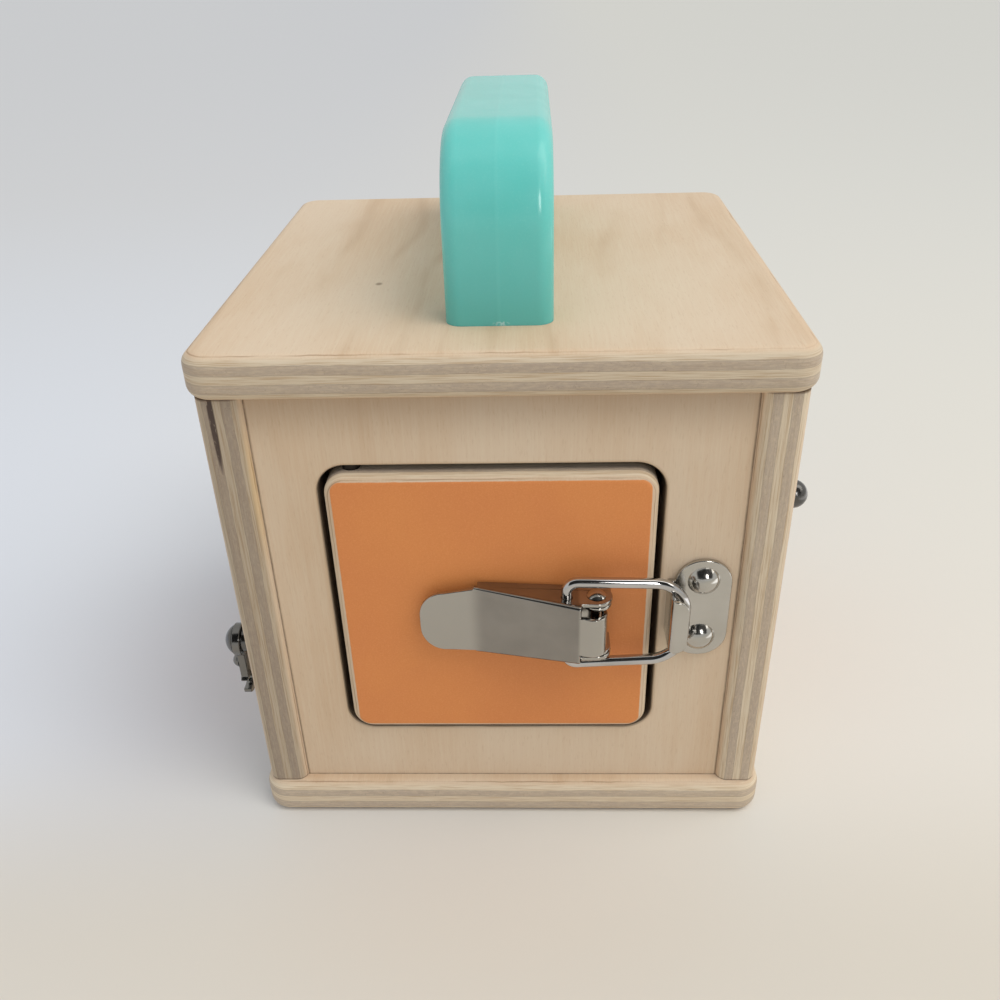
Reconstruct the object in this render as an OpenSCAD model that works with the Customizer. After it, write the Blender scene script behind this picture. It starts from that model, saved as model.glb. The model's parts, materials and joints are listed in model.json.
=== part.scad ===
// Wooden lock box toy: a plywood cube with a carry handle and four small doors,
// each door held by a lock of its own.
// Millimetres. The base stands on Z = 0, the front faces -Y, the middle of the base is the origin.

/* [Box] */
// Width of the top and base panels
box_w = 130; // [126:1:150]
// Depth of the top and base panels
box_d = 130; // [128:1:150]
// Height of the box without the handle
box_h = 130; // [124:1:150]
// Thickness of the plywood
ply_t = 10; // [9:0.5:12]
// Rounding of the panel edges
edge_r = 2.8; // [1.5:0.1:3]
// Rounding of the top and base corners, seen from above
corner_r = 6; // [5.6:0.2:8]
// How far the top stands out over the side panels
side_overhang = 1.5; // [0.5:0.25:3]
// How far the top stands out in front of the side panels
front_overhang = 2; // [0.5:0.25:3]
// How far the front panel is set back behind the side panels
front_recess = 2; // [1:0.25:4]

/* [Doors] */
// Width of the front and back panels beside the lock
lock_stile = 18; // [17.5:0.25:20]
// Width of the front and back panels beside the hinge pins
hinge_stile = 13; // [10:0.25:16]
// Width of the side panels beside the lock
side_stile = 17.5; // [17:0.25:19]
// Height of each door opening
open_h = 76; // [70:0.5:80]
// Corner radius of the opening
open_r = 6.5; // [5.5:0.25:9]
// Rounding of the outer edge of the opening
open_edge_r = 1; // [0.5:0.1:1.4]
// Gap around the door
door_gap = 1.5; // [1.4:0.1:2.5]
// How far the door stands out of its panel
door_proud = 2; // [1.5:0.25:3]
// Rounding of the door edges
door_edge_r = 2; // [1.8:0.1:2.6]
// Height of the door stops
stop_h = 50; // [30:1:58]
// Thickness of the door stops
stop_t = 6; // [4:0.5:8]
// Reach of the door stop behind the door
stop_reach = 7; // [5:0.5:9]
// Width of the door stop glued to the panel
stop_land = 5; // [3:0.5:5.4]
// Play between a shut door and its stop
stop_gap = 0.2; // [0.1:0.05:0.5]

/* [Hinge pins] */
// Diameter of the hinge pins
pin_d = 4; // [3:0.25:4.5]
// Distance of the pin from the door edge
pin_inset = 6; // [6:0.25:8]
// Depth of the pin in the rail
pin_rail = 8.5; // [6:0.5:10]
// Depth of the pin in the door
pin_door = 10; // [8:0.5:14]
// Running play around the pin in the rail
pin_play = 0.05; // [0.02:0.01:0.1]
// Free room above the upper pin
pin_end = 0.5; // [0.3:0.1:1]

/* [Handle] */
// Width of the handle
handle_w = 23; // [18:0.5:28]
// Thickness of the handle bar
handle_t = 11; // [9:0.5:13]
// Distance of the handle from the front and back edges of the top
handle_inset = 15.5; // [12:0.5:22]
// Height of the handle over the top panel
handle_h = 38.5; // [36:0.5:46]
// Bend radius of the handle, measured at the middle of the bar
handle_bend = 14; // [8:0.5:18]
// Rounding of the long edges of the handle
handle_r = 3.5; // [2:0.25:4.25]

/* [Fasteners] */
// Diameter of the handle screws
screw_d = 4; // [3:0.25:5]
// Head diameter of the handle screws
screw_head_d = 8; // [7:0.5:9]
// Head height of the handle screws
screw_head_h = 2.4; // [1.8:0.1:3]
// Depth of the handle screws in the handle
screw_grip = 12; // [8:0.5:16]
// Clearance of the handle screws in the top panel
screw_play = 0.2; // [0.1:0.05:0.5]
// Diameter of the dowels
dowel_d = 6; // [4:0.5:7]
// Depth of the dowels in the top and base
dowel_flat = 6; // [4:0.5:7.5]
// Depth of the dowels in the upright panels
dowel_up = 12; // [8:0.5:16]
// Dowel distance from the middle of the side panels
dowel_side = 46; // [40:0.5:50]
// Dowel distance from the middle of the front and back panels
dowel_front = 46; // [43:0.5:49]
// Shank diameter of the small rivets
rivet_d = 3; // [2.5:0.1:3.4]
// Length of the rivet shanks in the wood
rivet_l = 6; // [4:0.5:7]
// Fit of pins, dowels and rivets that stay put
fit = 0.02; // [0.01:0.01:0.05]

/* [Toggle latch] */
// Height of the front and back locks above the base
latch_z = 65; // [58:0.5:72]
// Distance of the lever pivot from the opening edge
pivot_in = 14.8; // [13.5:0.1:16]
// Height of the lever pivot over the door
pivot_up = 4.3; // [4.2:0.1:5]
// Diameter of the lever pivot pin
pivot_d = 2.5; // [2:0.1:2.8]
// Head diameter of the lever pivot pin
pivot_head_d = 4.4; // [3.6:0.1:5]
// Head height of the lever pivot pin
pivot_head_h = 1; // [0.8:0.1:1.2]
// Running play of the lever on its pin
pivot_play = 0.05; // [0.02:0.01:0.1]
// Width of the lever over its flanges
lever_w = 16; // [15:0.25:17]
// Sheet thickness of the lever
lever_sheet = 1; // [0.8:0.05:1.1]
// Distance from the pivot to the bend of the finger tab
lever_back = 27.8; // [26:0.2:29]
// Length of the finger tab
tab_l = 12.5; // [11:0.1:13.5]
// Width of the finger tab
tab_w = 14.8; // [13.8:0.1:15.6]
// Corner radius of the finger tab
tab_r = 5.8; // [4:0.1:6.8]
// Height of the finger tab over the door
tab_up = 3.4; // [3:0.1:4]
// Height of the lever nose over the door
nose_up = 10.1; // [9.8:0.1:10.5]
// Distance from the pivot to the start of the nose curl
nose_back = 1.6; // [1.4:0.1:2]
// Outer radius of the nose curl
nose_r = 3.2; // [2.6:0.1:3.3]
// How far the nose curls under, in degrees below level
nose_turn = 35; // [10:1:40]
// Width of the nose between its two slots
nose_w = 10.4; // [9:0.1:10.6]
// Length of the two slots beside the nose
slot_l = 2.2; // [1.8:0.1:3]
// End radius of the lever flanges
flange_r = 3.6; // [3.3:0.1:3.7]
// Gap between the lever flanges and the door
flange_up = 0.7; // [0.5:0.1:1]
// Width of the latch base over its ears
ear_w = 13.6; // [13:0.1:13.6]
// Sheet thickness of the latch base
base_sheet = 0.9; // [0.8:0.05:1]
// Length of the latch base behind the pivot
base_l = 24; // [22:0.5:26]
// Reach of the latch base in front of the pivot, between the ears
base_front = 0.4; // [0.2:0.1:0.5]
// Radius of the ears
ear_r = 3.5; // [3.2:0.1:3.5]
// Distance of the near rivet of the latch base from the pivot
base_near = 10; // [9:0.1:10.5]
// Distance of the far rivet of the latch base from the pivot
base_far = 19.5; // [18:0.1:20]
// Head diameter of the latch base rivets
base_head_d = 5; // [4.4:0.1:5.4]
// Head height of the latch base rivets
base_head_h = 1.2; // [0.8:0.1:1.2]
// Distance of the bail holes from the pivot
bail_arm = 6.7; // [6.3:0.1:7]
// Height of the bail holes over the door
bail_up = 5.3; // [5:0.1:5.6]
// Diameter of the bail wire
wire_d = 2.3; // [2:0.05:2.4]
// Distance between the middles of the two bail strands
bail_w = 23; // [22.8:0.2:24]
// How far the bail and the hook sit above the middle of the lever
bail_rise = 0.8; // [0:0.1:0.8]
// Bend radius of the bail at the lever, at the wire middle
bail_bend = 2.6; // [2.2:0.1:2.8]
// Corner radius of the bail at the hook, at the wire middle
bail_corner = 7.5; // [6:0.25:8]
// Distance of the wire in the hook from the opening edge
wire_in = 5.4; // [5.2:0.1:5.6]
// Height of the wire in the hook over the panel
wire_up = 5.6; // [5.4:0.1:5.8]

/* [Catch plate] */
// Distance of the catch rivets from the opening edge
catch_in = 9.9; // [9.6:0.1:10.4]
// Width of the catch plate
catch_w = 13; // [12.8:0.1:13.4]
// Height of the catch plate
catch_h = 27; // [25:0.5:29]
// Corner radius of the catch plate
catch_r = 6.3; // [4:0.1:6.3]
// Sheet thickness of the catch plate
catch_sheet = 1.2; // [1:0.05:1.4]
// Distance between the catch rivets
catch_pitch = 16; // [15:0.2:17]
// Head diameter of the catch rivets
catch_head_d = 7.4; // [6:0.1:7.6]
// Head height of the catch rivets
catch_head_h = 2.2; // [1.6:0.1:2.3]
// Height of the hook tongue
hook_h = 14.5; // [12:0.5:14.5]
// Corner radius of the hook lip
hook_corner = 2.8; // [1:0.1:3.4]
// Distance of the hook wall from the opening edge
hook_in = 1.7; // [1.4:0.1:1.9]
// Length of the hook lip
hook_lip = 4; // [3.6:0.1:4]
// Height of the hook over the panel
hook_up = 9.6; // [9.5:0.1:10]
// Sheet thickness of the hook
hook_sheet = 1.1; // [1:0.05:1.2]
// Outer bend radius of the hook
hook_bend = 1.6; // [1.3:0.1:2]

/* [Slide bolt] */
// Height of the slide bolt above the base
bolt_z = 65; // [60:0.5:70]
// Diameter of the bolt
bolt_d = 5; // [4.5:0.1:5.2]
// Height of the bolt middle over the door
bolt_up = 4.2; // [4.2:0.1:4.6]
// Length of the bolt
bolt_l = 56.5; // [55:0.5:59]
// Distance of the bolt tip from the opening edge when drawn back
bolt_tip = 4; // [3.5:0.1:4.5]
// Running play of the bolt in its guides
bolt_play = 0.08; // [0.04:0.01:0.1]
// Sheet thickness of the bolt base
bolt_sheet = 1.2; // [1:0.1:1.5]
// Length of the bolt base
bolt_base_l = 36.9; // [35:0.1:37.1]
// Height of the bolt base
bolt_base_h = 18; // [16:0.5:22]
// Distance of the bolt base from the opening edge
bolt_base_in = 4.2; // [4:0.1:5]
// Corner radius of the bolt base
bolt_base_r = 2.5; // [1:0.1:3]
// Distance between the bolt base rivets along the bolt
bolt_rivet_x = 22; // [18:0.1:25]
// Distance between the bolt base rivets across the bolt
bolt_rivet_y = 12.6; // [12:0.1:12.8]
// Head diameter of the bolt base rivets
bolt_head_d = 4; // [3.6:0.1:4.4]
// Head height of the bolt base rivets
bolt_head_h = 1; // [0.8:0.1:1.4]
// Length of each guide
guide_l = 3; // [2.5:0.1:3.2]
// Outer radius of the guides
guide_r = 4.4; // [4.2:0.1:5]
// Diameter of the knob
knob_d = 8; // [7:0.1:8.4]
// Gap between the knob and the bolt
knob_gap = 2.2; // [1.4:0.1:2.6]
// Distance of the knob from the opening edge when drawn back
knob_in = 55.6; // [55.4:0.1:56.2]
// Diameter of the knob stem
stem_d = 3.2; // [2.6:0.1:3.4]
// Width of the keeper
keeper_w = 5; // [4:0.1:6]
// Distance of the keeper from the opening edge
keeper_in = 3; // [2.5:0.1:4]
// Length of the keeper over its feet
keeper_h = 27; // [25:0.5:30]
// Width of the keeper feet
keeper_foot_w = 7; // [6.5:0.1:7.6]
// Corner radius of the keeper feet
keeper_r = 2; // [1:0.1:3]
// Distance between the keeper rivets
keeper_pitch = 19; // [18:0.1:20]
// Head diameter of the keeper rivets
keeper_head_d = 4.6; // [4:0.1:5]
// Head height of the keeper rivets
keeper_head_h = 1.3; // [0.8:0.1:1.6]
// Play of the bolt in the keeper
keeper_play = 0.5; // [0.3:0.05:0.8]
// Wall around the bolt in the keeper
keeper_wall = 1.6; // [1.2:0.1:2]

/* [Hook latch] */
// Height of the hook pivot above the base
swing_z = 48.5; // [44:0.5:54]
// Distance of the hook pivot from the opening edge
swing_in = 6.5; // [6.2:0.1:7]
// Distance from the hook pivot to the stud on the door
swing_l = 13.4; // [13.2:0.1:14]
// Width of the hook plate
plate_w = 10; // [9.6:0.1:10.6]
// Height of the hook plate
plate_h = 26; // [24:0.5:30]
// Corner radius of the hook plate
plate_r = 4; // [3:0.1:4.8]
// Distance between the hook plate rivets
plate_pitch = 18; // [17.5:0.1:18.5]
// Head diameter of the hook plate rivets
plate_head_d = 5; // [4.4:0.1:5.4]
// Head height of the hook plate rivets
plate_head_h = 1.2; // [0.8:0.1:1.6]
// Thickness of the hook plate
plate_t = 1.2; // [1:0.1:1.4]
// Thickness of the hook
swing_t = 2; // [1.5:0.1:2]
// Height of the hook over the panel
swing_up = 3.6; // [3.5:0.1:3.8]
// Width of the hook arm
swing_w = 4; // [3.6:0.1:4.4]
// Diameter of the finger nub on the hook
nub_d = 3.6; // [3:0.1:4]
// Height of the finger nub on the hook
nub_h = 2.2; // [1.6:0.1:2.6]
// Ring radius of the hook
ring_r = 4.2; // [3.8:0.1:4.6]
// Diameter of the pivot neck
neck_d = 4; // [3.4:0.1:4.4]
// Head diameter of the pivot stud
stud_head_d = 7.5; // [7:0.1:8]
// Head height of the pivot stud
stud_head_h = 2.3; // [1.6:0.1:2.6]
// Neck diameter of the stud on the door
post_d = 2.4; // [2:0.1:2.6]
// Head diameter of the stud on the door
post_head_d = 5; // [4.6:0.1:5.4]
// Head height of the stud on the door
post_head_h = 1.4; // [1:0.1:1.8]
// Play of the hook mouth around the stud
mouth_play = 0.4; // [0.3:0.05:0.5]
// Outer radius of the hook end
mouth_r = 3.7; // [3.4:0.1:4.2]

/* [Turn button] */
// Distance of the button pivot from the opening edge
turn_in = 8; // [7.5:0.1:9]
// Length of the turn button
turn_l = 30; // [27:0.5:32]
// Width of the turn button
turn_w = 9; // [8:0.25:10]
// Thickness of the turn button
turn_t = 2.4; // [1.8:0.1:3]
// Height of the spacer under the button
spacer_h = 2.4; // [2.4:0.1:3]
// Radius of the spacer
spacer_r = 4; // [3.4:0.1:4.4]
// Diameter of the button rivet
turn_d = 3.6; // [3:0.1:4]
// Head diameter of the button rivet
turn_head_d = 6.8; // [6:0.1:7.4]
// Head height of the button rivet
turn_head_h = 1.7; // [1.2:0.1:2.2]
// Play of the button on its rivet and spacer
turn_play = 0.05; // [0.02:0.01:0.1]

/* [Hidden] */
$fn = 48;

// Outer faces of the upright panels, measured from the middle of the box
side_out = box_w / 2 - side_overhang;
side_end = box_d / 2 - front_overhang;
front_out = side_end - front_recess;
mid_z = box_h / 2;
open_w = 2 * (side_out - ply_t) - lock_stile - hinge_stile;
door_w = open_w - 2 * door_gap;
door_h = open_h - 2 * door_gap;
door_r = open_r - door_gap;
front_edge = side_out - ply_t - lock_stile;
side_edge = side_end - side_stile;
front_mid = front_edge - open_w / 2;
side_mid = side_edge - open_w / 2;
pin_from_mid = door_w / 2 - pin_inset;
pin_y = ply_t / 2 - door_proud;
knob_up = bolt_up + bolt_d / 2 + knob_gap + knob_d / 2;
leg_y = box_d / 2 - handle_inset - handle_t / 2;
bar_z = handle_h - handle_t / 2;
pivot_x = front_edge - pivot_in;
catch_x = front_edge;
bail_run = pivot_in + bail_arm + wire_in;
bail_drop = bail_up + door_proud - wire_up;
bail_l = sqrt(bail_run * bail_run + bail_drop * bail_drop);
bail_tilt = atan2(bail_drop, bail_run);

// Where the rivets of each fitting sit, along the wall and up, from the fitting's own origin
catch_points = [[catch_in, catch_pitch / 2], [catch_in, -catch_pitch / 2]];
base_points = [[-base_near, 0], [-base_far, 0]];
keeper_points = [for (y = [-1, 1]) [keeper_in + keeper_w / 2, y * keeper_pitch / 2]];
bolt_points = [for (x = [-1, 1], y = [-1, 1])
  [x * bolt_rivet_x / 2 - bolt_base_in - bolt_base_l / 2, y * bolt_rivet_y / 2]];
plate_points = [for (y = [-1, 1]) [swing_in, y * plate_pitch / 2]];

// The four walls share one frame: x runs toward the latch, y runs inward from the outer
// face of the panel, z runs up. Each lock is on the right of its door, seen from outside.
module on_front() {
  translate([0, -front_out, 0]) children();
}
module on_back() {
  rotate([0, 0, 180]) on_front() children();
}
module on_left() {
  rotate([0, 0, 270]) translate([0, -side_out, 0]) children();
}
module on_right() {
  rotate([0, 0, 90]) translate([0, -side_out, 0]) children();
}
// Frame of a fitting: x along the wall, y up, z out of the wall
module fitting(x, z, lift) {
  translate([x, -lift, z]) rotate([90, 0, 0]) children();
}
// A sheet cut to a side view (along the wall, out of the wall) and made wide along the height
module side_sheet(width) {
  rotate([90, 0, 0]) linear_extrude(width, center = true) children();
}
module rounded_rect(w, h, r) {
  square([w - 2 * r, h], center = true);
  square([w, h - 2 * r], center = true);
  for (x = [-1, 1], y = [-1, 1])
    translate([x * (w / 2 - r), y * (h / 2 - r)]) circle(r);
}
// Half section of a plate from the corner middle out to the rim, both rims rounded
module rim_section(run, t, r) {
  square([run - r, t]);
  translate([0, r]) square([run, t - 2 * r]);
  for (y = [r, t - r])
    translate([run - r, y]) circle(r);
}
// Half section of an opening cutter that softens the outer edge
module flare_section(run, t, r) {
  difference() {
    union() {
      square([run, t]);
      translate([0, t - r]) square([run + r, r]);
    }
    translate([run + r, t - r]) circle(r);
  }
}
// A plate whose rim section is carried round the straight sides and the corners
module swept_plate(w, d, t, run) {
  translate([run - w / 2, run - d / 2, 0]) cube([w - 2 * run, d - 2 * run, t]);
  for (a = [0, 180]) rotate([0, 0, a]) {
    translate([w / 2 - run, d / 2 - run, 0]) rotate([90, 0, 0]) linear_extrude(d - 2 * run) children();
    translate([run - w / 2, d / 2 - run, 0]) rotate([90, 0, 90]) linear_extrude(w - 2 * run) children();
    translate([w / 2 - run, d / 2 - run, 0]) rotate_extrude(angle = 90) children();
    translate([run - w / 2, d / 2 - run, 0]) rotate([0, 0, 90]) rotate_extrude(angle = 90) children();
  }
}
// Round head with a shank below it, head on z = 0
module rivet(head_d, head_h, shank_d, shank_l) {
  ball = (head_d * head_d / 4 + head_h * head_h) / (2 * head_h);
  rotate_extrude() {
    intersection() {
      translate([0, head_h - ball]) circle(ball);
      square([head_d, head_h]);
    }
    translate([0, -shank_l]) square([shank_d / 2, shank_l + 0.2]);
  }
}
module rivets(points, head_d, head_h, depth) {
  for (p = points)
    translate([p[0], p[1], 0]) rivet(head_d, head_h, rivet_d, depth);
}
module rivet_holes(points, depth, d) {
  for (p = points)
    translate([p[0], p[1], -depth]) cylinder(d = d + 2 * fit, h = depth + 8);
}

// Opening and pin holes of a wall
module wall_cuts(mid) {
  translate([mid, ply_t, mid_z]) rotate([90, 0, 0])
    swept_plate(open_w, open_h, ply_t, open_r) flare_section(open_r, ply_t, open_edge_r);
  translate([mid - pin_from_mid, pin_y, mid_z + open_h / 2 - 1])
    cylinder(d = pin_d + 2 * pin_play, h = pin_rail + pin_end + 1);
  translate([mid - pin_from_mid, pin_y, mid_z - open_h / 2 - pin_rail])
    cylinder(d = pin_d + 2 * pin_play, h = pin_rail + 1);
}
module door_plate(mid) {
  difference() {
    translate([mid, ply_t - door_proud, mid_z]) rotate([90, 0, 0])
      swept_plate(door_w, door_h, ply_t, door_r) rim_section(door_r, ply_t, door_edge_r);
    translate([mid - pin_from_mid, pin_y, mid_z + door_h / 2 - pin_door])
      cylinder(d = pin_d + 2 * fit, h = pin_door + 1);
    translate([mid - pin_from_mid, pin_y, mid_z - door_h / 2 - 1])
      cylinder(d = pin_d + 2 * fit, h = pin_door + 1);
  }
}
module hinge_pins(mid) {
  translate([mid - pin_from_mid, pin_y, mid_z + door_h / 2 - pin_door])
    cylinder(d = pin_d, h = pin_door + door_gap + pin_rail);
  translate([mid - pin_from_mid, pin_y, mid_z - open_h / 2 - pin_rail])
    cylinder(d = pin_d, h = pin_rail + door_gap + pin_door);
}
module door_stop(mid) {
  e = mid + open_w / 2;
  y = ply_t - door_proud + stop_gap;
  translate([0, 0, mid_z - stop_h / 2]) linear_extrude(stop_h)
    polygon([[e - stop_reach, y], [e - 0.4, y], [e - 0.4, ply_t], [e + stop_land, ply_t],
      [e + stop_land, ply_t + stop_t], [e - stop_reach, ply_t + stop_t]]);
}
module dowel_set(d) {
  for (x = [-1, 1], y = [-1, 1]) {
    translate([x * (side_out - ply_t / 2), y * dowel_side, 0]) dowel_pair(d);
    translate([x * dowel_front, y * (front_out - ply_t / 2), 0]) dowel_pair(d);
  }
}
module dowel_pair(d) {
  translate([0, 0, ply_t - dowel_flat]) cylinder(d = d, h = dowel_flat + dowel_up);
  translate([0, 0, box_h - ply_t - dowel_up]) cylinder(d = d, h = dowel_flat + dowel_up);
}
module dowel_holes() {
  dowel_set(dowel_d + 2 * fit);
}

module base_panel() {
  color("burlywood") difference() {
    swept_plate(box_w, box_d, ply_t, corner_r) rim_section(corner_r, ply_t, edge_r);
    dowel_holes();
  }
}
module top_panel() {
  color("burlywood") difference() {
    translate([0, 0, box_h - ply_t])
      swept_plate(box_w, box_d, ply_t, corner_r) rim_section(corner_r, ply_t, edge_r);
    dowel_holes();
    for (y = [-1, 1])
      translate([0, y * leg_y, box_h - ply_t - 1]) cylinder(d = screw_d + 2 * screw_play, h = ply_t + 2);
  }
}
module side_blank() {
  translate([0, ply_t / 2, ply_t]) linear_extrude(box_h - 2 * ply_t)
    rounded_rect(2 * side_end, ply_t, edge_r);
}
module front_blank() {
  translate([ply_t - side_out, 0, ply_t])
    cube([2 * (side_out - ply_t), ply_t, box_h - 2 * ply_t]);
}
module left_panel() {
  color("burlywood") difference() {
    on_left() difference() {
      side_blank();
      wall_cuts(side_mid);
      fitting(side_edge, swing_z, 0) {
        rivet_holes(plate_points, rivet_l, rivet_d);
        rivet_holes([[swing_in, 0]], rivet_l, rivet_d);
      }
    }
    dowel_holes();
  }
}
module right_panel() {
  color("burlywood") difference() {
    on_right() difference() {
      side_blank();
      wall_cuts(side_mid);
      fitting(side_edge, bolt_z, 0) rivet_holes(keeper_points, rivet_l, rivet_d);
    }
    dowel_holes();
  }
}
module front_panel() {
  color("burlywood") difference() {
    on_front() difference() {
      front_blank();
      wall_cuts(front_mid);
      fitting(catch_x, latch_z, 0) rivet_holes(catch_points, rivet_l, rivet_d);
    }
    dowel_holes();
  }
}
module back_panel() {
  color("burlywood") difference() {
    on_back() difference() {
      front_blank();
      wall_cuts(front_mid);
      fitting(front_edge, latch_z, 0) rivet_holes([[turn_in, 0]], rivet_l, turn_d);
    }
    dowel_holes();
  }
}
module panel_dowels() {
  color("tan") dowel_set(dowel_d);
}
module door_stops() {
  color("tan") {
    on_front() door_stop(front_mid);
    on_back() door_stop(front_mid);
    on_left() door_stop(side_mid);
    on_right() door_stop(side_mid);
  }
}

// Section of the handle bar, rounded along its four long edges in small flats
function round_corner(x, y, from) =
  [for (i = [0:6]) [x + handle_r * cos(from + 15 * i), y + handle_r * sin(from + 15 * i)]];
module bar_section() {
  x = handle_w / 2 - handle_r;
  y = handle_t / 2 - handle_r;
  polygon(concat(round_corner(x, y, 0), round_corner(-x, y, 90),
    round_corner(-x, -y, 180), round_corner(x, -y, 270)));
}
module handle() {
  color("mediumturquoise") translate([0, 0, box_h]) difference() {
    union() {
      for (a = [0, 180]) rotate([0, 0, a]) {
        translate([0, leg_y, 0]) linear_extrude(bar_z - handle_bend) bar_section();
        translate([0, leg_y - handle_bend, bar_z - handle_bend]) rotate([90, 0, 90])
          rotate_extrude(angle = 90) translate([handle_bend, 0]) rotate(90) bar_section();
      }
      translate([0, handle_bend - leg_y, bar_z]) rotate([-90, 0, 0])
        linear_extrude(2 * (leg_y - handle_bend)) bar_section();
    }
    for (y = [-1, 1])
      translate([0, y * leg_y, -1]) cylinder(d = screw_d + 2 * fit, h = screw_grip + 1.5);
  }
}
module handle_screws() {
  color("silver") for (y = [-1, 1])
    translate([0, y * leg_y, box_h - ply_t]) {
      cylinder(d = screw_d, h = ply_t + screw_grip);
      translate([0, 0, -screw_head_h]) cylinder(d = screw_head_d, h = screw_head_h);
    }
}

// Catch plate of the toggle latch, with the hook that holds the wire
module hook_profile() {
  difference() {
    translate([hook_in, 0]) square([hook_lip, hook_up]);
    translate([hook_in + hook_sheet, -1]) square([hook_lip, hook_up - hook_sheet + 1]);
    difference() {
      translate([hook_in - 1, hook_up - hook_bend]) square([hook_bend + 1, hook_bend + 1]);
      translate([hook_in + hook_bend, hook_up - hook_bend]) circle(hook_bend);
    }
  }
}
module catch_plate() {
  color("silver") on_front() fitting(catch_x, latch_z, 0) difference() {
    union() {
      translate([catch_in, 0, 0]) linear_extrude(catch_sheet) rounded_rect(catch_w, catch_h, catch_r);
      translate([hook_in, bail_rise - hook_h / 2, 0])
        cube([catch_in - hook_in, hook_h, catch_sheet]);
      translate([0, bail_rise, 0]) intersection() {
        side_sheet(hook_h) hook_profile();
        translate([hook_in, 0, 0]) linear_extrude(hook_up + 1)
          rounded_rect(2 * hook_lip, hook_h, hook_corner);
      }
    }
    rivet_holes(catch_points, 1, rivet_d);
  }
}
module catch_rivets() {
  color("silver") on_front() fitting(catch_x, latch_z, catch_sheet)
    rivets(catch_points, catch_head_d, catch_head_h, catch_sheet + rivet_l);
}

module front_door() {
  color("darkorange") on_front() difference() {
    door_plate(front_mid);
    fitting(pivot_x, latch_z, door_proud) rivet_holes(base_points, rivet_l, rivet_d);
  }
}
module front_hinge_pins() {
  color("silver") on_front() hinge_pins(front_mid);
}
module ear_profile() {
  translate([-ear_r, 0]) square([2 * ear_r, pivot_up]);
  translate([0, pivot_up]) circle(ear_r);
}
module latch_base() {
  color("silver") on_front() fitting(pivot_x, latch_z, door_proud) difference() {
    union() {
      translate([-base_l, -ear_w / 2, 0]) cube([base_l + base_front, ear_w, base_sheet]);
      for (y = [-1, 1])
        translate([0, y * (ear_w - base_sheet) / 2, 0]) side_sheet(base_sheet) ear_profile();
    }
    translate([0, 0, pivot_up]) rotate([90, 0, 0])
      cylinder(d = pivot_d + 2 * fit, h = ear_w + 2, center = true);
    rivet_holes(base_points, 1, rivet_d);
  }
}
module latch_base_rivets() {
  color("silver") on_front() fitting(pivot_x, latch_z, door_proud + base_sheet)
    rivets(base_points, base_head_d, base_head_h, base_sheet + rivet_l);
}
module latch_pivot_pin() {
  color("silver") on_front() fitting(pivot_x, latch_z, door_proud)
    translate([0, 0, pivot_up]) {
      rotate([90, 0, 0]) cylinder(d = pivot_d, h = lever_w + 0.3, center = true);
      for (a = [90, -90])
        rotate([a, 0, 0]) translate([0, 0, lever_w / 2 + 0.15]) rivet(pivot_head_d, pivot_head_h, pivot_d, 1);
    }
}

// Toggle lever: a channel of bent sheet with a curled nose and a finger tab
tab_bend = [-lever_back, tab_up];
nose_start = [-nose_back, nose_up];
lever_run = norm(nose_start - tab_bend);
lever_dir = (nose_start - tab_bend) / lever_run;
lever_in = [lever_dir[1], -lever_dir[0]];
slot_start = nose_start - slot_l * lever_dir;
module lever_flange() {
  difference() {
    union() {
      polygon([[0.9 - lever_back, flange_up], [0, flange_up], [0, pivot_up + flange_r],
        [-3.4, pivot_up + flange_r], slot_start + lever_in * lever_sheet / 2,
        tab_bend + lever_in * lever_sheet / 2 + lever_dir * 0.9]);
      translate([0, pivot_up]) circle(flange_r);
    }
    translate([0, pivot_up]) circle(pivot_d / 2 + pivot_play);
    translate([-bail_arm, bail_up]) circle(wire_d / 2 + 0.1);
  }
}
module lever_plate(a, b) {
  polygon([a, b, b + lever_in * lever_sheet, a + lever_in * lever_sheet]);
}
module lever_curl() {
  turn = atan2(-lever_in[1], -lever_in[0]) + 8;
  far = 3 * nose_r;
  translate(nose_start + lever_in * nose_r) intersection() {
    difference() {
      circle(nose_r);
      circle(nose_r - lever_sheet);
    }
    polygon([[0, 0], far * [cos(nose_turn), -sin(nose_turn)], [far, 0], [far, far],
      far * [cos(turn), sin(turn)]]);
  }
}
module latch_lever() {
  color("gray") on_front() fitting(pivot_x, latch_z, door_proud) {
    for (y = [-1, 1])
      translate([0, y * (lever_w - lever_sheet) / 2, 0]) side_sheet(lever_sheet) lever_flange();
    side_sheet(lever_w) lever_plate(tab_bend, slot_start);
    side_sheet(nose_w) {
      lever_plate(slot_start - lever_dir * 0.5, nose_start);
      lever_curl();
    }
    translate([-lever_back, 0, tab_up - lever_sheet]) linear_extrude(lever_sheet) {
      translate([tab_r - tab_l, -tab_w / 2]) square([tab_l - tab_r + 0.4, tab_w]);
      translate([-tab_l, tab_r - tab_w / 2]) square([tab_l, tab_w - 2 * tab_r]);
      for (y = [-1, 1])
        translate([tab_r - tab_l, y * (tab_w / 2 - tab_r)]) circle(tab_r);
    }
  }
}

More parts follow.
